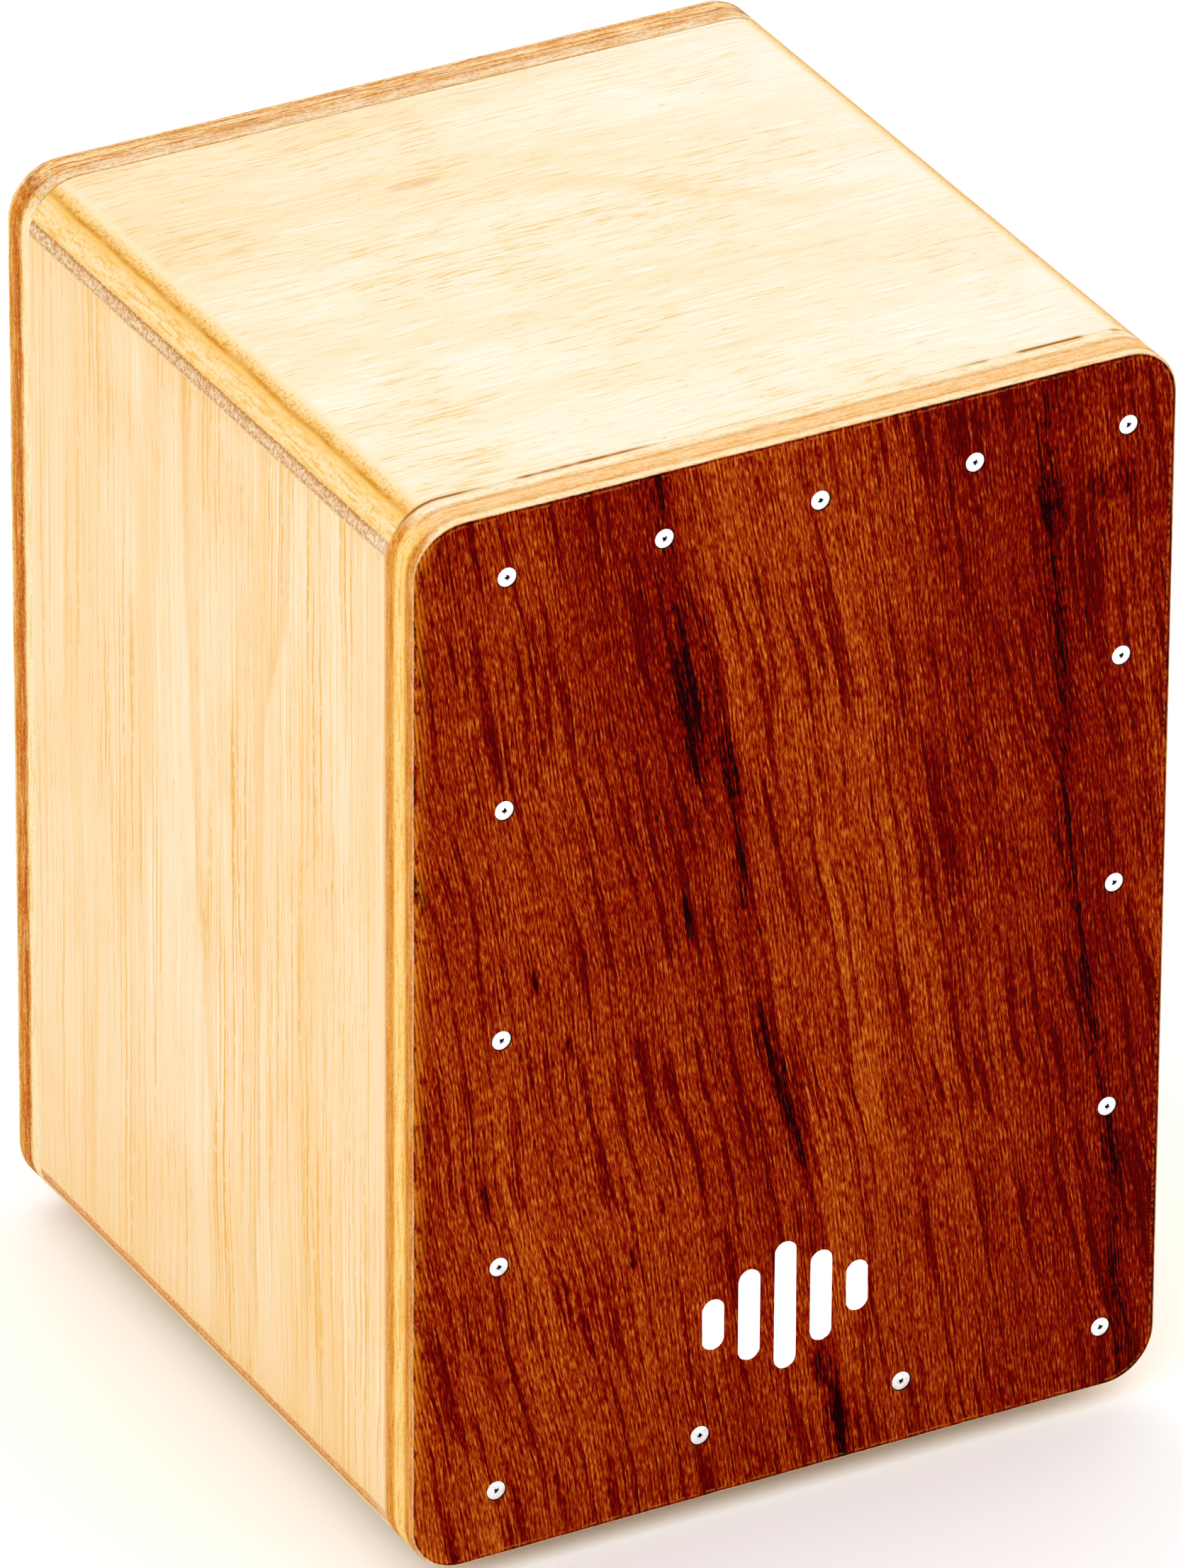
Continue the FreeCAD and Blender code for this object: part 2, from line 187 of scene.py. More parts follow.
class Shader:
    """One material, with the surface's place in mm and its normal ready as fields."""

    def __init__(self, name):
        self.material = bpy.data.materials.new(name)
        self.material.use_nodes = True
        self.tree = self.material.node_tree
        self.tree.nodes.clear()
        self.surface = self.add("ShaderNodeBsdfPrincipled")
        output = self.add("ShaderNodeOutputMaterial")
        self.tree.links.new(self.surface.outputs["BSDF"], output.inputs["Surface"])
        place = self.split(self.add("ShaderNodeTexCoord").outputs["Object"])
        self.x, self.y, self.z = (axis / MM for axis in place)
        self.normal_x, self.normal_y, self.normal_z = self.split(
            self.add("ShaderNodeNewGeometry").outputs["Normal"])

    def add(self, kind, **settings):
        node = self.tree.nodes.new(kind)
        for name, value in settings.items():
            setattr(node, name, value)
        return node

    def feed(self, socket, value):
        """Link a field or a colour socket to an input, or set a plain value on it."""
        if isinstance(value, Field):
            self.tree.links.new(value.socket, socket)
        elif isinstance(value, bpy.types.NodeSocket):
            self.tree.links.new(value, socket)
        else:
            socket.default_value = value

    def split(self, vector):
        node = self.add("ShaderNodeSeparateXYZ")
        self.tree.links.new(vector, node.inputs["Vector"])
        return [Field(self, output) for output in node.outputs]

    def math(self, operation, *values):
        node = self.add("ShaderNodeMath", operation=operation)
        for socket, value in zip(node.inputs, values):
            if value is not None:
                self.feed(socket, value)
        return Field(self, node.outputs["Value"])

    def noise(self, x, y, z, detail=2.0, roughness=0.5):
        """Smooth noise from 0 to 1 over three coordinates. A light patch and a dark one take about 1.6 units."""
        place = self.add("ShaderNodeCombineXYZ")
        for socket, value in zip(place.inputs, (x, y, z)):
            self.feed(socket, value)
        node = self.add("ShaderNodeTexNoise")
        self.tree.links.new(place.outputs["Vector"], node.inputs["Vector"])
        node.inputs["Scale"].default_value = 1.0
        node.inputs["Detail"].default_value = detail
        node.inputs["Roughness"].default_value = roughness
        return Field(self, node.outputs["Fac"])

    def mix(self, share, first, second, blend="MIX"):
        """A colour between two colours."""
        node = self.add("ShaderNodeMix", data_type="RGBA", blend_type=blend)
        self.feed(node.inputs[MIX_SHARE], share)
        self.feed(node.inputs[MIX_FIRST], first)
        self.feed(node.inputs[MIX_SECOND], second)
        return node.outputs[MIX_COLOUR]

    def ramp(self, field, stops):
        """A colour that follows a field through (position, colour) stops."""
        node = self.add("ShaderNodeValToRGB")
        self.feed(node.inputs["Fac"], field)
        elements = node.color_ramp.elements
        while len(elements) < len(stops):
            elements.new(0.5)
        for element, (position, colour) in zip(elements, stops):
            element.position = position
            element.color = colour
        return node.outputs["Color"]

    def stack(self, depth, stops):
        """A colour that follows a depth in mm through (depth, colour) stops."""
        reach = stops[-1][0]
        return self.ramp(depth / reach, [(place / reach, colour) for place, colour in stops])

    def darken(self, share, colour, tint):
        """A colour multiplied by a tint, to a given share."""
        return self.mix(share, colour, tint, blend="MULTIPLY")

    def finish_wood(self, colour, roughness, relief, specular, tint=(1, 1, 1, 1)):
        """Set a wooden surface. Its colours are given as they look under the studio light."""
        share = (WOOD_BRIGHTNESS, WOOD_BRIGHTNESS, WOOD_BRIGHTNESS, 1.0)
        return self.finish(self.darken(1.0, colour, share), roughness, relief, specular, tint)

    def finish(self, colour, roughness, relief=None, specular=0.5, tint=(1, 1, 1, 1), metallic=0.0):
        """Set the surface. relief is a height in mm."""
        inputs = self.surface.inputs
        self.feed(inputs["Base Color"], colour)
        self.feed(inputs["Roughness"], roughness)
        inputs["Specular IOR Level"].default_value = specular
        inputs["Specular Tint"].default_value = tint
        inputs["Metallic"].default_value = metallic
        if relief is not None:
            bump = self.add("ShaderNodeBump")
            bump.inputs["Distance"].default_value = MM
            self.feed(bump.inputs["Height"], relief)
            self.tree.links.new(bump.outputs["Normal"], inputs["Normal"])
        return self.material


# ---- Wood ----
CREAM = {"light": srgb(254, 250, 240), "pale": srgb(252, 242, 217), "deep": srgb(249, 229, 188),
         "line": srgb(240, 188, 78), "fleck": srgb(222, 160, 62), "fine": 0.95, "run": 0.045, "break": 0.11,
         "drift": 14.0, "bands": 0.03, "lines": 0.9, "dashes": 0.75, "glints": 0.85, "threads": 0.25}
PEACH = {"light": srgb(254, 237, 208), "pale": srgb(252, 225, 183), "deep": srgb(249, 208, 146),
         "line": srgb(240, 178, 62), "fleck": srgb(226, 160, 60), "fine": 0.9, "run": 0.012, "break": 0.17,
         "drift": 6.0, "bands": 0.05, "lines": 0.95, "dashes": 0.35, "glints": 1.0, "threads": 1.0}

FRONT_EDGE_UP = (
    (0.0, srgb(232, 180, 112)), (0.4, srgb(251, 230, 188)), (1.3, srgb(253, 232, 194)), (1.9, srgb(250, 216, 162)),
    (2.7, srgb(230, 172, 94)), (3.3, srgb(244, 194, 126)), (4.4, srgb(251, 206, 146)), (7.4, srgb(250, 206, 150)),
    (8.2, srgb(232, 174, 104)), (9.2, srgb(244, 206, 152)), (10.0, srgb(254, 238, 206)),
    (11.8, srgb(254, 240, 210)), (13.0, srgb(252, 232, 194)), (13.7, srgb(244, 216, 172)),
)
FRONT_EDGE_SIDE = (
    (0.0, srgb(206, 132, 60)), (1.2, srgb(224, 154, 78)), (2.6, srgb(206, 130, 40)), (3.3, srgb(232, 168, 72)),
    (4.3, srgb(254, 210, 120)), (6.4, srgb(254, 220, 146)), (8.4, srgb(254, 220, 146)), (9.3, srgb(248, 196, 102)),
    (10.1, srgb(224, 152, 50)), (11.4, srgb(222, 150, 54)), (13.0, srgb(230, 160, 70)), (13.7, srgb(226, 156, 66)),
)
BACK_EDGE_UP = (
    (0.0, srgb(204, 152, 104)), (0.6, srgb(240, 200, 150)), (1.5, srgb(240, 190, 126)), (1.9, srgb(190, 112, 28)),
    (2.25, srgb(240, 190, 120)), (3.8, srgb(254, 216, 160)), (5.0, srgb(250, 208, 152)), (6.8, srgb(246, 196, 132)),
    (7.2, srgb(196, 122, 44)), (7.6, srgb(238, 194, 146)), (9.6, srgb(240, 206, 168)), (11.4, srgb(246, 216, 180)),
    (12.2, srgb(226, 184, 122)),
)
BACK_EDGE_SIDE = (
    (0.0, srgb(254, 248, 230)), (1.0, srgb(250, 232, 192)), (1.6, srgb(230, 172, 90)), (2.4, srgb(216, 142, 44)),
    (4.2, srgb(220, 136, 30)), (5.4, srgb(212, 122, 8)), (6.4, srgb(188, 94, 0)), (7.0, srgb(194, 106, 0)),
    (8.1, srgb(238, 188, 104)), (8.9, srgb(254, 232, 184)), (12.2, srgb(254, 236, 196)),
)
ROUND_OVER_TONES = (
    (0.0, srgb(253, 236, 202)), (0.8, srgb(253, 230, 184)), (1.4, srgb(251, 216, 150)), (2.1, srgb(245, 194, 108)),
    (2.45, srgb(238, 174, 70)), (2.6, srgb(206, 128, 18)), (2.85, srgb(218, 146, 34)), (3.3, srgb(247, 198, 100)),
    (4.4, srgb(250, 210, 136)), (6.5, srgb(253, 224, 170)), (8.3, srgb(252, 216, 148)), (9.3, srgb(243, 198, 116)),
)
SIDE_END_TONES = (
    (0.0, srgb(230, 174, 80)), (0.35, srgb(188, 118, 30)), (0.8, srgb(212, 156, 76)), (1.5, srgb(230, 188, 138)),
    (2.8, srgb(236, 196, 146)), (3.6, srgb(216, 164, 94)), (4.3, srgb(238, 196, 136)), (5.2, srgb(249, 214, 160)),
)
SANDED_BAND_DARK = srgb(176, 112, 56)
DARK_LINE = srgb(150, 84, 10)
SEAM_STAIN = srgb(238, 182, 92)
SEAM_GAP_MIDDLE = 10.0
SEAM_GAP_HALF = 48.0
SEAM_GAP_BLUR = 8.0
BACK_DARK_LINE = 5.2
PORE_DEPTH = 0.05

# Stains on the level panels' veneer, in mm from the middle: a small oval spot, and a slanting smear that follows
# a path of (across, towards the rear).
SPOT_MIDDLE = (-21, 55)
SPOT_REACH = (9, 2.6)
SMEAR_PATH = ((-60, 60), (8, 41), (47, 14), (61, 2), (110, -2))
SMEAR_REACH = 9

# Arch lines in the side panels' figure: (height above the middle, depth) in mm, and which way each fades.
ARCH_LINES = (
    (((-152, 0), (-70, 0), (5, 6), (80, 11), (152, 14)), -1),
    (((-152, -22), (-95, -26), (-45, -27.5), (5, -29), (55, -31), (105, -44), (152, -46)), 1),
)


def veneer(sh, along, across, seed, look):
    """Pale rotary-cut veneer: broad tone, fine lines, soft dashes and flecks. Gives colour and relief."""
    drift = (sh.noise(along * 0.009, across * 0.012, seed, detail=2) - 0.5) * look["drift"]
    waver = (sh.noise(along * 0.07, across * 0.1, seed + 1, detail=1) - 0.5) * 1.6
    flow = across + drift + waver
    broad = sh.noise(along * 0.004, flow * look["bands"], seed + 3, detail=3)
    lines = sh.noise(along * look["run"], flow * look["fine"], seed + 5, detail=3, roughness=0.55)
    dashes = sh.noise(along * look["break"], flow * look["fine"] * 1.2, seed + 7, detail=3, roughness=0.6)
    cloud = sh.noise(along * 0.016, across * 0.022, seed + 9, detail=2)
    flecks = sh.noise(along * 0.22, flow * 1.1, seed + 11, detail=1)
    colour = sh.mix(broad.rise(0.36, 0.66) * 0.8, look["pale"], look["deep"])
    colour = sh.mix(lines.fall(0.32, 0.46) * look["glints"], colour, look["light"])
    stain = cloud.rise(0.44, 0.64)
    colour = sh.mix(stain * 0.45, colour, look["deep"])
    line = lines.rise(0.53, 0.64) * dashes.rise(0.38, 0.56) * (stain * 0.6 + 0.4)
    colour = sh.mix(line * look["lines"] * 0.8, colour, look["line"])
    dash = dashes.rise(0.53, 0.66) * (stain * 0.6 + 0.25)
    colour = sh.mix(dash * look["dashes"], colour, look["line"])
    threads = sh.noise(along * 0.008, flow * 0.75, seed + 13, detail=1)
    gather = sh.noise(along * 0.006, across * 0.03, seed + 15, detail=1).rise(0.4, 0.58)
    beads = sh.noise(along * 0.25, flow * 0.9, seed + 17, detail=2).rise(0.3, 0.5)
    thread = threads.rise(0.57, 0.63) * gather * beads
    colour = sh.mix(thread * look["threads"], colour, look["line"])
    fleck = flecks.rise(0.69, 0.76) * lines.rise(0.44, 0.58)
    colour = sh.mix(fleck * 0.55, colour, look["fleck"])
    relief = lines * 0.04 - fleck * 0.03
    return colour, relief


def edge_wobble(sh, seed):
    """How far a ply's border wanders along an edge, in mm."""
    coarse = sh.noise(sh.x * 0.05, sh.z * 0.05, seed, detail=2) - 0.5
    fine = sh.noise(sh.x * 0.35, sh.z * 0.35, seed + 2, detail=2) - 0.5
    return coarse + fine


def cut_edge(sh, depth, upward, sideways, seed, rough):
    """A cut plywood edge, coloured by depth. Its fibres show as streaks, its cut pores as specks."""
    turned = sh.normal_x.absolute().rise(0.35, 0.85)
    colour = sh.mix(turned, sh.stack(depth, upward), sh.stack(depth, sideways))
    level_streaks = sh.noise(sh.x * 0.09, sh.y * 0.95 + seed, sh.z * 0.95, detail=3, roughness=0.65)
    upright_streaks = sh.noise(sh.x * 0.95, sh.y * 0.95 + seed, sh.z * 0.09, detail=3, roughness=0.65)
    streaks = level_streaks * (1 - turned) + upright_streaks * turned
    specks = sh.noise(sh.x * 0.9, sh.y * 1.3 + seed, sh.z * 0.9, detail=3, roughness=0.75)
    rough = (turned * 0.45 + 0.85) * rough
    colour = sh.darken(streaks.rise(0.48, 0.62) * rough * 0.9, colour, srgb(240, 198, 84))
    colour = sh.darken(specks.rise(0.52, 0.64) * rough * 0.75, colour, srgb(228, 182, 70))
    light_specks = (specks.fall(0.38, 0.47) + streaks.fall(0.38, 0.47)) * rough * (0.5 - turned * 0.18)
    speck_colour = sh.mix(turned, srgb(254, 234, 192), srgb(248, 204, 124))
    colour = sh.mix(light_specks, colour, speck_colour)
    relief = streaks * 0.04 + specks * 0.04
    return colour, relief


# Figure of the playing face, in mm from its middle. Dark streaks have a path of (height, across) and a strength of
# (height, share). Small dark marks are (across, height, half width, half height, share). Shades are broad lighter and
# darker bands as (across, change of tone). Tones are the colours from darkest to lightest.
FACE_STREAKS = (
    {"path": ((-152, -20), (50, -27), (72, -29.5), (87, -31.5), (107, -33), (132, -37), (152, -39.5)),
     "strength": ((-152, 0), (44, 0), (62, 0.45), (74, 0.8), (86, 0.75), (96, 0.55), (122, 0.5), (152, 0.8)),
     "width": 6.0},
    {"path": ((-152, 17), (-133, 14), (-120, 10), (-80, 8), (-60, 4), (-45, 0.5), (-30, -4.5), (-5, -10.5),
              (27, -15), (40, -15.7), (55, -17.5), (65, -19.5), (85, -24), (120, -29), (152, -33)),
     "strength": ((-152, 0.85), (-133, 0.95), (-118, 0.8), (-90, 0.35), (-62, 0.8), (-45, 1), (-30, 0.85),
                  (-10, 0.55), (10, 0.4), (27, 0.55), (42, 0.45), (60, 0.95), (74, 0.6), (95, 0.4), (152, 0.35)),
     "width": 3.6},
    {"path": ((-152, 101), (-120, 98), (-83, 95.5), (-43, 89), (-25, 86.7), (15, 80.5), (72, 78), (107, 74),
              (152, 71)),
     "strength": ((-152, 0.45), (-83, 0.6), (-52, 0.55), (-38, 0.9), (-24, 1), (-6, 0.55), (40, 0.5),
                  (80, 0.6), (98, 0.55), (112, 0.95), (128, 0.6), (152, 0.75)),
     "width": 3.8},
)
FACE_MARKS = (
    (-31.0, 82.5, 4.0, 9.5, 0.36), (-30.0, 70.0, 2.4, 7.0, 0.36), (-19.0, 61.0, 2.6, 11.0, 0.4),
    (-15.5, 35.0, 1.3, 10.0, 0.6), (-30.7, 22.0, 1.1, 8.0, 0.5), (0.2, -45.5, 2.2, 9.0, 0.55),
    (3.6, -58.0, 1.7, 6.0, 0.45), (9.8, -122.8, 2.8, 8.0, 0.5), (15.0, -138.0, 2.6, 13.0, 0.5),
    (86.7, -26.5, 2.4, 9.0, 0.5), (89.8, -43.0, 1.5, 6.0, 0.4), (96.5, -118.0, 1.3, 9.0, 0.4),
    (72.0, 114.0, 2.2, 12.0, 0.45), (92.0, 117.0, 9.0, 6.0, 0.16), (-64.5, -6.5, 1.1, 4.0, 0.5),
    (-45.7, -75.0, 1.2, 4.0, 0.5), (-89.0, -46.0, 1.4, 7.0, 0.4), (-107.5, 50.0, 1.4, 8.0, 0.5),
    (-74.6, 15.0, 1.0, 5.0, 0.5), (-37.5, -61.0, 0.9, 4.0, 0.5),
)
FACE_SHADES = ((-115, 0.06), (-60, 0.02), (-32, -0.05), (-14, -0.07), (4, 0.08), (26, 0.07), (48, -0.03),
               (75, -0.09), (115, -0.08))
FACE_TONES = (
    (0.00, srgb(24, 0, 2)), (0.07, srgb(52, 0, 0)), (0.17, srgb(84, 0, 0)), (0.28, srgb(104, 0, 0)),
    (0.38, srgb(119, 6, 0)), (0.50, srgb(134, 21, 0)), (0.62, srgb(152, 46, 2)), (0.76, srgb(172, 72, 10)),
    (0.88, srgb(191, 94, 20)), (1.00, srgb(210, 117, 30)),
)
FIBRE_PITCH = 1.15
FIGURE_LEAN = 0.19
MARK_LEAN = 0.17
STREAK_SHARE = 0.42
PINE_RING_PITCH = 3.4


def streak_darkness(x, z, streak, ragged):
    """How strongly one dark streak of the figure shows: a soft band with a darker core."""
    offset = (x - z.follow(streak["path"])).absolute() / ragged
    band = offset.fall(0.0, streak["width"] * 1.5)
    core = offset.fall(0.0, streak["width"] * 0.5)
    return (band * 0.65 + core * 0.35) * z.follow(streak["strength"])


def mark_darkness(x, z, mark):
    """How strongly one small dark mark shows: a soft leaning oval."""
    across, height, half_width, half_height, depth = mark
    rise = z - height
    sideways = (x - across + rise * MARK_LEAN) / half_width
    upward = rise / half_height
    return (sideways * sideways + upward * upward).fall(0.0, 1.3) * depth


def outline_distance(sh):
    """How far a point of the playing face lies inside the outline with its round corners, in mm."""
    beyond_x = (ROUND_OVER - (HALF_WIDTH - sh.x.absolute())).most(0)
    beyond_z = (ROUND_OVER - (HALF_HEIGHT - (sh.z - MIDDLE).absolute())).most(0)
    return ROUND_OVER - (beyond_x * beyond_x + beyond_z * beyond_z).math("SQRT")


def mahogany(sh):
    """The red-brown playing face: fine leaning fibres, dark figure, worn rim. Gives colour, roughness and relief."""
    x = sh.x
    z = sh.z - MIDDLE
    sway = sh.noise(x * 0.011, z * 0.009, 3.0, detail=2) - 0.5
    fibre_x = x + z * x.follow(((-110, 0.15), (20, 0.14), (110, 0.08))) + sway * 9
    warp = sh.noise(fibre_x * 0.45, z * 0.06, 20.0, detail=3, roughness=0.6) - 0.5
    stripes = (fibre_x * (2 * math.pi / FIBRE_PITCH) + warp * 8).sine()
    broken = sh.noise(fibre_x * 1.6 + warp * 1.5, z * 0.25, 27.0, detail=2, roughness=0.6) - 0.5
    hair = sh.noise(fibre_x * 3.0, z * 0.45, 31.0, detail=1) - 0.5
    figure = x + z * FIGURE_LEAN + sway * 16
    broad = sh.noise(figure * 0.05, z * 0.004, 8.0, detail=3, roughness=0.55) - 0.5
    bands = sh.noise(figure * 0.16, z * 0.008, 12.0, detail=2, roughness=0.55)
    threads = sh.noise(figure * 0.45 + warp * 1.2, z * 0.016, 15.0, detail=2)
    pores = sh.noise(fibre_x * 0.7, z * 0.12, 44.0, detail=1)
    patchy = sh.noise(x * 0.09, z * 0.05, 37.0, detail=2).rise(0.3, 0.65)
    strands = sh.noise(figure * 1.15 + warp * 0.8, z * 0.03, 17.0, detail=1)
    ridges = (stripes.rise(-0.6, 0.8) * 2 - 1) * (patchy * 0.09 + 0.03)
    tone = 0.54 + ridges + broken * 1.25 + hair * 1.1 + broad * 0.8
    tone = tone - bands.rise(0.54, 0.72) * 0.14 - threads.rise(0.55, 0.62) * 0.3
    tone = tone - strands.rise(0.58, 0.66) * 0.24
    tone = tone + (x + z * FIGURE_LEAN).follow(FACE_SHADES)
    ragged = sh.noise(fibre_x * 0.45, z * 0.07, 51.0, detail=2) * 2
    dark = None
    for streak in FACE_STREAKS:
        share = streak_darkness(x, z, streak, ragged) * STREAK_SHARE
        dark = share if dark is None else dark.most(share)
    for mark in FACE_MARKS:
        dark = dark.most(mark_darkness(x, z, mark) * ragged.least(1.15))
    pore = pores.rise(0.72, 0.78)
    outline = outline_distance(sh)
    worn = sh.noise(x * 0.3, z * 0.12, 63.0, detail=3, roughness=0.6)
    rim = outline.fall(0.6, 1.5) * (worn.fall(0.52, 0.64) * 0.6 + 0.4)
    tone = (tone + 0.04).most(0.15) - dark - pore * 0.3 - rim * 0.26
    colour = sh.ramp(tone, FACE_TONES)
    crumbs = sh.noise(x * 0.5, z * 0.5, 71.0, detail=2, roughness=0.7).rise(0.46, 0.56)
    colour = sh.mix(crumbs * outline.near(1.7, 0.5) * 0.6, colour, srgb(192, 104, 30))
    sanded = (outline + worn * 6).fall(4.4, 8.2) * worn.rise(0.42, 0.52) * x.fall(-106, -100)
    colour = sh.mix(sanded * (stripes.rise(-0.6, 0.5) * 0.7 + 0.2), colour, srgb(214, 118, 18))
    relief = stripes * 0.008 + hair * 0.01 - pore * PORE_DEPTH
    return colour, 0.62 - tone * 0.16, relief


def playing_plate_material():
    """Mahogany veneer on the front, plywood on the edges, painted shade in the screw holes, plain veneer behind."""
    sh = Shader("mahogany_face")
    depth = sh.y - FRONT
    colour, roughness, relief = mahogany(sh)
    core, _ = cut_edge(sh, depth + edge_wobble(sh, 61.0) * 0.3, FRONT_EDGE_UP, FRONT_EDGE_SIDE, 5.0, 0.62)
    # Painted shade: the countersinks round the screw heads are coloured near black, standing in for shade in the gap.
    hole_shade = outline_distance(sh).rise(1.0, 2.0) * depth.rise(0.02, 0.08) * depth.fall(1.8, 2.4)
    veneer_end = depth + edge_wobble(sh, 67.0) * 0.15
    veneer_edge = sh.mix(0.7, colour, srgb(88, 26, 2))
    colour = sh.mix(sh.normal_y.rise(-0.7, -0.3), colour, veneer_edge)
    colour = sh.mix(veneer_end.rise(FACE_VENEER - 0.1, FACE_VENEER + 0.1), colour, core)
    colour = sh.mix(hole_shade, colour, srgb(34, 5, 1))
    colour = sh.mix(sh.normal_y.rise(0.8, 0.95), colour, veneer(sh, sh.x, sh.z, 47.0, CREAM)[0])
    return sh.finish_wood(colour, roughness, relief, specular=0.025, tint=srgb(255, 70, 20))


def frame_seam(sh):
    """Where the joint between the frame and the panels shows as a dark line: near the ends, with gaps."""
    broken = sh.noise(sh.x * 0.06, sh.z * 0.06, 4.0, detail=2).rise(0.36, 0.5)
    near_ends = (sh.x - SEAM_GAP_MIDDLE).absolute().rise(SEAM_GAP_HALF - SEAM_GAP_BLUR, SEAM_GAP_HALF + SEAM_GAP_BLUR)
    return broken * near_ends * sh.normal_z.absolute().rise(0.5, 0.9)


def front_frame_material():
    """The frame's two plies with crossed grain and the lines between them."""
    sh = Shader("frame_ply")
    depth = sh.y - FRONT
    colour, relief = cut_edge(sh, depth + edge_wobble(sh, 71.0) * 0.35, FRONT_EDGE_UP, FRONT_EDGE_SIDE, 11.0, 0.62)
    joint_depth = FRAME_BACK - FRONT
    joint = depth.rise(joint_depth - 0.9, joint_depth - 0.5) * frame_seam(sh)
    stained = depth.rise(joint_depth - 1.8, joint_depth - 0.7) * frame_seam(sh)
    colour = sh.mix(stained * 0.6, colour, SEAM_STAIN)
    colour = sh.mix(joint * 0.9, colour, DARK_LINE)
    colour = sh.mix(sh.normal_y.absolute().rise(0.8, 0.95), colour, veneer(sh, sh.x, sh.z, 52.0, PEACH)[0])
    return sh.finish_wood(colour, 0.6, relief, specular=0.03)


def level_panel_material(name, level, seed):
    """The top (level 1) or bottom (level -1) panel: cream veneer that the round-over cuts through."""
    sh = Shader(name)
    outer = TOP if level > 0 else BASE
    depth = (outer - sh.z) * level
    face, relief = veneer(sh, sh.x, sh.y, seed, CREAM)
    spot_x = (sh.x - SPOT_MIDDLE[0]) / SPOT_REACH[0]
    spot_y = (sh.y - SPOT_MIDDLE[1]) / SPOT_REACH[1]
    spot = spot_x.math("POWER", 2) + spot_y.math("POWER", 2)
    face = sh.mix(spot.fall(0.1, 1.4) * 0.4, face, srgb(228, 172, 96))
    smear = (sh.y - sh.x.follow(SMEAR_PATH)).absolute()
    smear = smear.fall(0, SMEAR_REACH) * sh.x.rise(-10, 12) * sh.x.fall(64, 100)
    face = sh.mix(smear * 0.4, face, srgb(248, 212, 148))
    face = sh.darken((sh.y - sh.x * 0.7).rise(20, 190) * 0.9, face, srgb(252, 238, 212))
    face = sh.mix(sh.x.rise(10, 110) * 0.3, face, srgb(254, 250, 242))
    dust = sh.noise(sh.x * 1.2, sh.y * 0.8, sh.z * 1.2, detail=3, roughness=0.8) - 0.5
    slow = sh.noise(sh.y * 0.045, level, seed, detail=3) - 0.5
    streaks = sh.noise(sh.y * 0.12, sh.z * 1.1, sh.x * 0.6 + seed, detail=3, roughness=0.6)
    ragged = depth + dust * 2.2 * depth.rise(0.3, 1.4) * depth.fall(2.4, 3.4) + slow * 1.4 * depth.rise(0.3, 2.0)
    cut = sh.stack(ragged, ROUND_OVER_TONES)
    faded = sh.noise(sh.y * 0.07, 7.0, seed, detail=2).rise(0.42, 0.6)
    cut = sh.mix(ragged.near(2.8, 0.8) * faded * 0.7, cut, srgb(244, 190, 96))
    core = ragged.rise(3.0, 4.2)
    dots = sh.noise(sh.y * 0.8, sh.z * 1.1, seed, detail=3, roughness=0.6)
    cut = sh.mix(dots.rise(0.5, 0.64) * core * 0.7, cut, srgb(242, 184, 80))
    cut = sh.mix(streaks.rise(0.52, 0.62) * core * 0.8, cut, srgb(243, 186, 82))
    cut = sh.mix(streaks.fall(0.34, 0.46) * core * 0.35, cut, srgb(254, 236, 196))
    cut = sh.mix(dots.fall(0.32, 0.44) * core * 0.2, cut, srgb(254, 236, 196))
    cut = sh.mix(dust.rise(0.02, 0.12) * ragged.rise(0.9, 2.2) * ragged.fall(2.9, 3.6) * 0.7, cut,
                 srgb(218, 142, 38))
    on_round = sh.x.absolute().rise(HALF_WIDTH - ROUND_OVER - 1, HALF_WIDTH - ROUND_OVER + 2)
    inside = depth.rise(PANEL - 0.06, PANEL - 0.02) * sh.x.absolute().fall(INNER_X, INNER_X + 0.5)
    colour = sh.mix(on_round * ragged.rise(0.15, 0.9), face, cut)
    seam = (sh.y - FRAME_BACK).fall(0.15, 0.45) * frame_seam(sh)
    colour = sh.mix((sh.y - FRAME_BACK).fall(0.3, 1.4) * frame_seam(sh) * 0.6, colour, SEAM_STAIN)
    colour = sh.mix(seam * 0.9, colour, DARK_LINE)
    colour = sh.mix(inside, colour, sh.mix(0.35, face, srgb(222, 180, 124)))
    return sh.finish_wood(colour, 0.42, relief, specular=0.12)


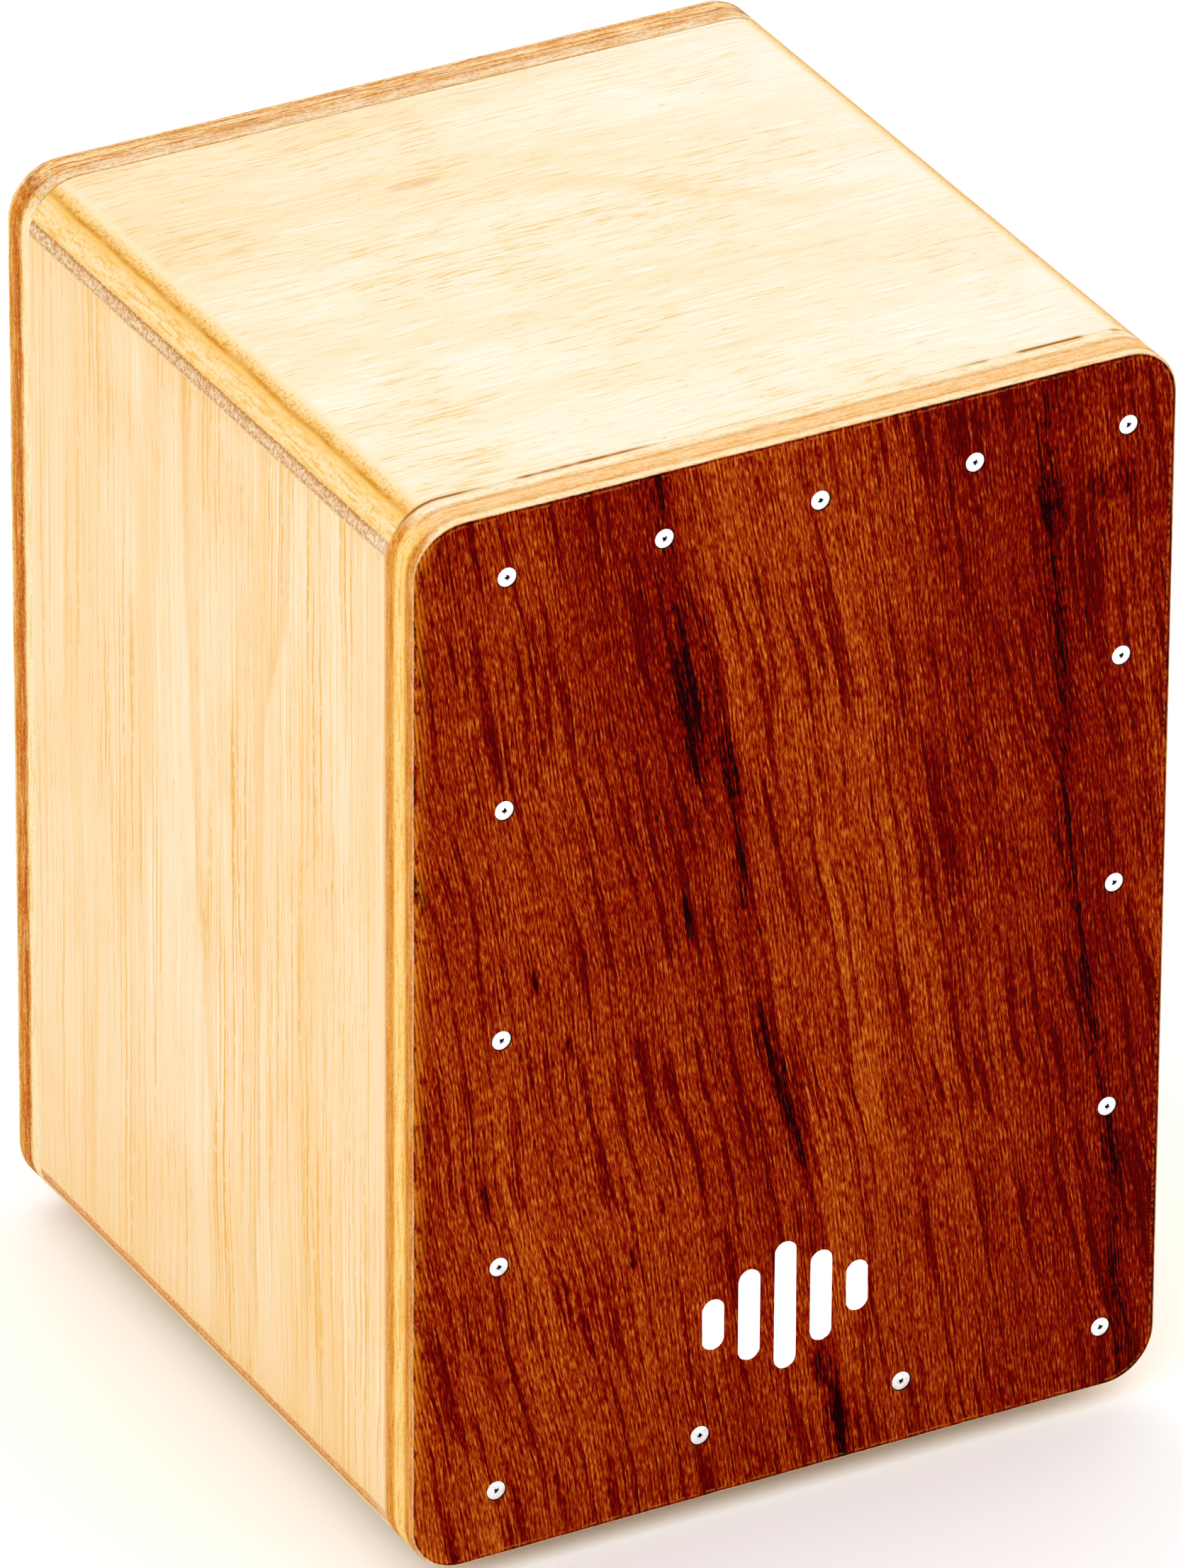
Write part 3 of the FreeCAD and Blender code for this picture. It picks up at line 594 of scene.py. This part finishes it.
def side_panel_material(name, side, seed):
    """A side panel: peach veneer, sanded through to the next ply at its top and bottom ends."""
    sh = Shader(name)
    height = sh.z - MIDDLE
    depth = sh.y * -side
    face, relief = veneer(sh, sh.z, sh.y * side, seed, PEACH)
    for path, fade in ARCH_LINES:
        wander = (sh.noise(sh.z * 0.04, depth * 0.08, seed + 20, detail=3) - 0.5) * 5
        offset = (depth - height.follow(path) + wander) * fade
        face = sh.mix(offset.rise(-1.5, 0) * offset.fall(0, 7) * 0.32, face, srgb(240, 186, 104))
        face = sh.mix(offset.rise(-16, -2) * offset.fall(-3, 0) * 0.25, face, PEACH["light"])
    face = sh.mix(height.fall(-150, -60) * 0.4, face, srgb(250, 208, 140))
    face = sh.darken(height.absolute().rise(HALF_HEIGHT - 22, HALF_HEIGHT - 13) * 0.55, face, srgb(252, 244, 214))
    face = sh.mix(sh.y.rise(5, 105) * 0.5, face, srgb(252, 218, 166))
    fine = sh.noise(sh.z * 0.005, sh.y * 0.9, seed + 30, detail=1).rise(0.6, 0.66)
    gaps = sh.noise(sh.z * 0.12, sh.y * 0.9, seed + 33, detail=2).rise(0.36, 0.5)
    face = sh.mix(fine * gaps * sh.y.fall(-70, 30) * 0.7, face, PEACH["line"])
    from_end = HALF_HEIGHT - height.absolute()
    low_end = sh.z.fall(MIDDLE - 20, MIDDLE)
    dust = sh.noise(sh.x * 1.1, sh.y * 1.1, sh.z * 1.1, detail=3, roughness=0.75)
    border = from_end + (dust - 0.5) * 2.2 + (sh.noise(sh.y * 0.06, 0, seed, detail=2) - 0.5) * 1.4
    band_colour = sh.stack(from_end - PANEL + (dust - 0.5) * 0.8, SIDE_END_TONES)
    band_colour = sh.mix(dust.rise(0.5, 0.6) * 0.65, band_colour, SANDED_BAND_DARK)
    band_colour = sh.mix(dust.fall(0.38, 0.48) * 0.65, band_colour, srgb(254, 238, 210))
    band_colour = sh.darken(low_end * 0.8, band_colour, srgb(254, 204, 96))
    outer = sh.x.absolute().rise(HALF_WIDTH - 4, HALF_WIDTH - 3)
    colour = sh.mix((border + low_end).fall(SANDED_THROUGH - 0.8, SANDED_THROUGH) * outer, face, band_colour)
    colour = sh.mix((sh.y - FRAME_BACK).fall(1, 14) * outer * 0.3, colour, PEACH["light"])
    # Painted shade: a darker line along the panel's front border, where it meets the frame.
    rim = (sh.y - FRAME_BACK).fall(0.5, 1.5) * outer
    colour = sh.mix(rim * 0.75, colour, srgb(228, 164, 82))
    inside = sh.x.absolute().fall(INNER_X + 0.05, INNER_X + 0.2)
    colour = sh.mix(inside * 0.4, colour, srgb(214, 166, 108))
    return sh.finish_wood(colour, 0.45, relief, specular=0.15)


def back_panel_material():
    """The back panel: peach veneer on the rear face, crossed plies on every cut edge."""
    sh = Shader("back_ply")
    depth = REAR - sh.y
    face, relief = veneer(sh, sh.z, sh.x, 91.0, PEACH)
    wobble = edge_wobble(sh, 83.0) * depth.rise(0.3, 2.0)
    upright = sh.normal_x.absolute().rise(0.7, 0.95)
    smooth = 1 - depth.rise(BACK_OUTER_PLY + 0.6, BACK_OUTER_PLY + 1.6) * upright * 0.6
    cut, _ = cut_edge(sh, depth + wobble, BACK_EDGE_UP, BACK_EDGE_SIDE, 23.0, smooth)
    fine = sh.noise(sh.x * 0.035, (depth + wobble) * 0.95, sh.z * 0.035, detail=3, roughness=0.6)
    outer_ply = depth.rise(1.4, 2.2) * depth.fall(BACK_OUTER_PLY - 0.2, BACK_OUTER_PLY + 0.8)
    cut = sh.mix(fine.rise(0.53, 0.62) * outer_ply * 0.6, cut, srgb(196, 116, 38))
    wave = (sh.noise(sh.x * 0.06, 3.0, sh.z * 0.06, detail=3) - 0.5) * 5
    strength = sh.noise(sh.x * 0.09, 9.0, sh.z * 0.09, detail=2).rise(0.4, 0.6)
    cut = sh.mix((depth + wave).near(BACK_DARK_LINE, 0.5) * strength, cut, srgb(178, 92, 16))
    corner = sh.normal_x.absolute().near(0.62, 0.34)
    mottle = sh.noise(sh.x * 0.55, sh.y * 0.9, sh.z * 0.55, detail=3, roughness=0.7)
    cut = sh.mix(mottle.rise(0.46, 0.56) * corner * (outer_ply * 0.45 + 0.3), cut, srgb(160, 88, 28))
    cut = sh.mix(mottle.fall(0.32, 0.44) * corner * outer_ply * 0.4, cut, srgb(254, 220, 164))
    joint = sh.y.near(BACK_FRONT, 0.55) * sh.normal_z.absolute().rise(0.2, 0.9)
    cut = sh.mix(joint * 0.75, cut, srgb(166, 108, 52))
    on_face = sh.y.rise(REAR - BACK_VENEER, REAR - BACK_VENEER * 0.5)
    return sh.finish_wood(sh.mix(on_face, cut, face), 0.55, relief, specular=0.03)


def softwood_material(name, along_axis, pith):
    """Planed pine for the inner bars: growth rings round a pith that lies beside the bar."""
    sh = Shader(name)
    along = sh.x if along_axis == "x" else sh.y
    first = sh.y if along_axis == "x" else sh.x.absolute()
    height = (sh.z - MIDDLE).absolute()
    sway = (sh.noise(along * 0.012, first * 0.03, height * 0.03, detail=2) - 0.5) * 7
    from_pith = ((first - pith[0]).math("POWER", 2) + (height - pith[1]).math("POWER", 2)).math("SQRT")
    rings = ((from_pith + sway) * (2 * math.pi / PINE_RING_PITCH)).sine() * 0.5 + 0.5
    fibre = sh.noise(along * 0.05, first * 1.6, sh.z * 1.6, detail=3, roughness=0.6)
    colour = sh.mix(rings.rise(0.35, 0.95) * 0.75, srgb(242, 212, 158), srgb(216, 162, 96))
    colour = sh.mix(fibre.rise(0.45, 0.75) * 0.4, colour, srgb(202, 148, 84))
    return sh.finish_wood(colour, 0.6, rings * 0.02 + fibre * 0.04, specular=0.2)


# ---- Metal, rubber, ink ----
def steel_material(name, colour, roughness, recess_shade_from=None):
    """Bright plated steel with a little haze. Past a given depth from the front, in the recess, it is painted dark as
    shade.
    """
    sh = Shader(name)
    haze = sh.noise(sh.x * 0.9, sh.y * 0.9, sh.z * 0.9, detail=3)
    marks = sh.noise(sh.x * 6, sh.y * 6, sh.z * 6, detail=1)
    tint = sh.mix(haze.rise(0.4, 0.75), colour, srgb(226, 229, 234))
    if recess_shade_from is not None:
        # Painted shade: the recess of the screw heads is coloured near black.
        tint = sh.mix((sh.y - FRONT).rise(recess_shade_from, recess_shade_from + 0.12), tint, srgb(46, 42, 42))
    return sh.finish(tint, haze * 0.2 + roughness, marks * 0.006, metallic=1.0)


def rubber_material():
    """Matt black rubber with a moulded grain and dusty highlights."""
    sh = Shader("foot_rubber")
    dust = sh.noise(sh.x * 0.4, sh.y * 0.4, sh.z * 0.4, detail=3)
    grain = sh.noise(sh.x * 5, sh.y * 5, sh.z * 5, detail=1)
    colour = sh.mix(dust.rise(0.4, 0.7), srgb(26, 26, 27), srgb(44, 43, 42))
    return sh.finish(colour, dust * 0.2 + 0.6, grain * 0.03, specular=0.4)


def ink_material():
    """White screen-printed ink, thin enough for the grain under it to show faintly."""
    sh = Shader("print_ink")
    z = sh.z - MIDDLE
    fibre = sh.noise((sh.x + z * 0.085) * 0.9, z * 0.115, 20.0, detail=3, roughness=0.6)
    colour = sh.mix(fibre.rise(0.5, 0.75), srgb(255, 255, 255), srgb(238, 236, 240))
    return sh.finish(colour, 0.5, fibre * 0.03, specular=0.3)


def floor_material():
    """Plain pale studio floor."""
    sh = Shader("studio_floor")
    cloud = sh.noise(sh.x * 0.004, sh.y * 0.004, 0, detail=2)
    colour = sh.mix(cloud, srgb(254, 254, 253), srgb(252, 252, 252))
    return sh.finish(colour, 0.85, specular=0.1)


# ---- Pieces made here ----
SNARE_STRANDS = 10
COIL_TURNS = 52
COIL_STEPS = 8
WIRE_RADIUS = 0.19
SNARE_RADIUS = 1.0
SNARE_TIP_GAP = 0.3
TAIL_SHARE = 0.03


def snare_coils(side, material):
    """One snare set: each strand a close coil of spring wire with a straight tail at its lower end."""
    node = side + "_snare_wires"
    low, high = mm_box(node)
    first_x = low.x + SNARE_RADIUS
    pitch = (high.x - low.x - 2 * SNARE_RADIUS) / (SNARE_STRANDS - 1)
    curve = bpy.data.curves.new(side + "_snare_coils", "CURVE")
    curve.dimensions = "3D"
    curve.bevel_depth = WIRE_RADIUS * MM
    curve.bevel_resolution = 1
    curve.use_fill_caps = True
    for strand in range(SNARE_STRANDS):
        foot = Vector((first_x + strand * pitch, high.y - SNARE_RADIUS, low.z))
        tip = Vector((first_x + strand * pitch, low.y + SNARE_RADIUS, high.z - SNARE_TIP_GAP))
        axis = tip - foot
        across = Vector((1, 0, 0))
        outward = axis.cross(across).normalized()
        points = [foot]
        for step in range(COIL_TURNS * COIL_STEPS + 1):
            share = TAIL_SHARE + (1 - TAIL_SHARE) * step / (COIL_TURNS * COIL_STEPS)
            angle = 2 * math.pi * step / COIL_STEPS + strand
            radius = SNARE_RADIUS - WIRE_RADIUS
            ring = across * math.cos(angle) * radius + outward * math.sin(angle) * radius
            points.append(foot + axis * share + ring)
        spline = curve.splines.new("POLY")
        spline.points.add(len(points) - 1)
        for target, point in zip(spline.points, points):
            target.co = (*(point * MM), 1.0)
    coils = bpy.data.objects.new(side + "_snare_coils", curve)
    bpy.context.scene.collection.objects.link(coils)
    curve.materials.append(material)
    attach(coils, "root")
    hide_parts(node)


MARK_MIDDLE = (-1.0, -101.0)
MARK_BARS = (15.0, 27.0, 38.0, 27.0, 15.0)
MARK_BAR_WIDTH = 6.4
MARK_PITCH = 10.6
MARK_THICKNESS = 0.05
MARK_ROUGH_EDGE = 0.07
MARK_ARC_STEPS = 14
MARK_SEED = 11


def bar_outline(centre_x, centre_z, width, height, rng):
    """A rounded upright bar's outline, with the slightly rough edge of a print."""
    radius = width / 2
    points = []
    for level in (1, -1):
        for step in range(MARK_ARC_STEPS + 1):
            angle = math.pi * step / MARK_ARC_STEPS + (0 if level > 0 else math.pi)
            reach = radius + rng.uniform(-MARK_ROUGH_EDGE, MARK_ROUGH_EDGE)
            points.append((centre_x + reach * math.cos(angle),
                           centre_z + level * (height / 2 - radius) + reach * math.sin(angle)))
    return points


def printed_mark(material):
    """A plain decoration on the playing face: five upright bars of white ink."""
    rng = random.Random(MARK_SEED)
    mesh = bpy.data.meshes.new("printed_bars")
    builder = bmesh.new()
    for index, height in enumerate(MARK_BARS):
        centre_x = MARK_MIDDLE[0] + (index - (len(MARK_BARS) - 1) / 2) * MARK_PITCH
        outline = bar_outline(centre_x, MARK_MIDDLE[1] + MIDDLE, MARK_BAR_WIDTH, height, rng)
        front = [builder.verts.new(Vector((x, FRONT - MARK_THICKNESS, z)) * MM) for x, z in outline]
        back = [builder.verts.new(Vector((x, FRONT + MARK_THICKNESS, z)) * MM) for x, z in outline]
        builder.faces.new(front)
        builder.faces.new(list(reversed(back)))
        for i in range(len(outline)):
            after = (i + 1) % len(outline)
            builder.faces.new((front[after], front[i], back[i], back[after]))
    bmesh.ops.recalc_face_normals(builder, faces=builder.faces)
    builder.to_mesh(mesh)
    builder.free()
    mark = bpy.data.objects.new("printed_bars", mesh)
    bpy.context.scene.collection.objects.link(mark)
    mesh.materials.append(material)
    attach(mark, "root")


# ---- Stage ----
def add_floor():
    """A large plain floor under the feet."""
    half = FLOOR_SIZE / 2
    mesh = bpy.data.meshes.new("studio_floor")
    mesh.from_pydata([(-half, -half, 0), (half, -half, 0), (half, half, 0), (-half, half, 0)], [], [(0, 1, 2, 3)])
    mesh.materials.append(floor_material())
    floor = bpy.data.objects.new("studio_floor", mesh)
    bpy.context.scene.collection.objects.link(floor)


def add_softbox(name, place, size, power):
    """A square soft light that faces the drum."""
    light = bpy.data.lights.new(name, "AREA")
    light.shape = "SQUARE"
    light.size = size
    light.energy = power
    softbox = bpy.data.objects.new(name, light)
    bpy.context.scene.collection.objects.link(softbox)
    softbox.location = place
    softbox.rotation_euler = (AIM - Vector(place)).to_track_quat("-Z", "Y").to_euler()


def add_light():
    """A white sky with three softboxes: key from the front left, fill from the right, one from behind."""
    world = bpy.data.worlds.new("studio_sky")
    bpy.context.scene.world = world
    world.use_nodes = True
    sky = world.node_tree.nodes["Background"]
    sky.inputs["Color"].default_value = (1.0, 1.0, 1.0, 1.0)
    sky.inputs["Strength"].default_value = SKY_STRENGTH
    for name, place, size, power in SOFTBOXES:
        add_softbox(name, place, size, power)


def add_camera():
    """The camera, placed by its angles and distance."""
    azimuth = math.radians(VIEW_AZIMUTH)
    elevation = math.radians(VIEW_ELEVATION)
    forward = Vector((math.sin(azimuth) * math.cos(elevation), math.cos(azimuth) * math.cos(elevation),
                      -math.sin(elevation)))
    data = bpy.data.cameras.new("camera")
    data.sensor_width = SENSOR
    data.lens = VIEW_LENS
    data.clip_end = 100
    camera = bpy.data.objects.new("camera", data)
    bpy.context.scene.collection.objects.link(camera)
    turn = forward.to_track_quat("-Z", "Y").to_matrix() @ Matrix.Rotation(math.radians(VIEW_ROLL), 3, "Z")
    camera.matrix_world = Matrix.Translation(AIM - forward * VIEW_DISTANCE) @ turn.to_4x4()
    bpy.context.scene.camera = camera


# ---- Put it together ----
def dress(nodes, material):
    """Give CAD nodes a material."""
    for node in nodes:
        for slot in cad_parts[node].material_slots:
            slot.material = material


def nodes_named(ending):
    """The CAD nodes whose names end in a given way."""
    return [name for name in sorted(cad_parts) if name.endswith(ending)]


bpy.context.scene.view_settings.view_transform = "Standard"
add_camera()
add_light()
add_floor()

dress(["playing_plate"], playing_plate_material())
dress(["front_frame"], front_frame_material())
dress(["top_panel"], level_panel_material("top_veneer", 1, 2.0))
dress(["bottom_panel"], level_panel_material("bottom_veneer", -1, 31.0))
dress(["left_side_panel"], side_panel_material("left_veneer", -1, 40.0))
dress(["right_side_panel"], side_panel_material("right_veneer", 1, 55.0))
dress(["back_panel"], back_panel_material())
dress(nodes_named("_batten") + nodes_named("_block"), softwood_material("batten_pine", "y", (62.0, 112.0)))
dress(["snare_crossbar"], softwood_material("crossbar_pine", "x", (-60.0, 20.0)))
dress(nodes_named("_screws"), steel_material("bright_zinc", srgb(250, 251, 253), 0.25))
dress(["playing_plate_screws"], steel_material("bright_zinc_front", srgb(255, 255, 255), 0.3, recess_shade_from=0.3))
spring_steel = steel_material("spring_steel", srgb(226, 228, 232), 0.18)
dress(nodes_named("_snare_plate") + nodes_named("_snare_wires"), spring_steel)
dress(nodes_named("_foot"), rubber_material())
for side_name in ("left", "right"):
    snare_coils(side_name, spring_steel)
printed_mark(ink_material())
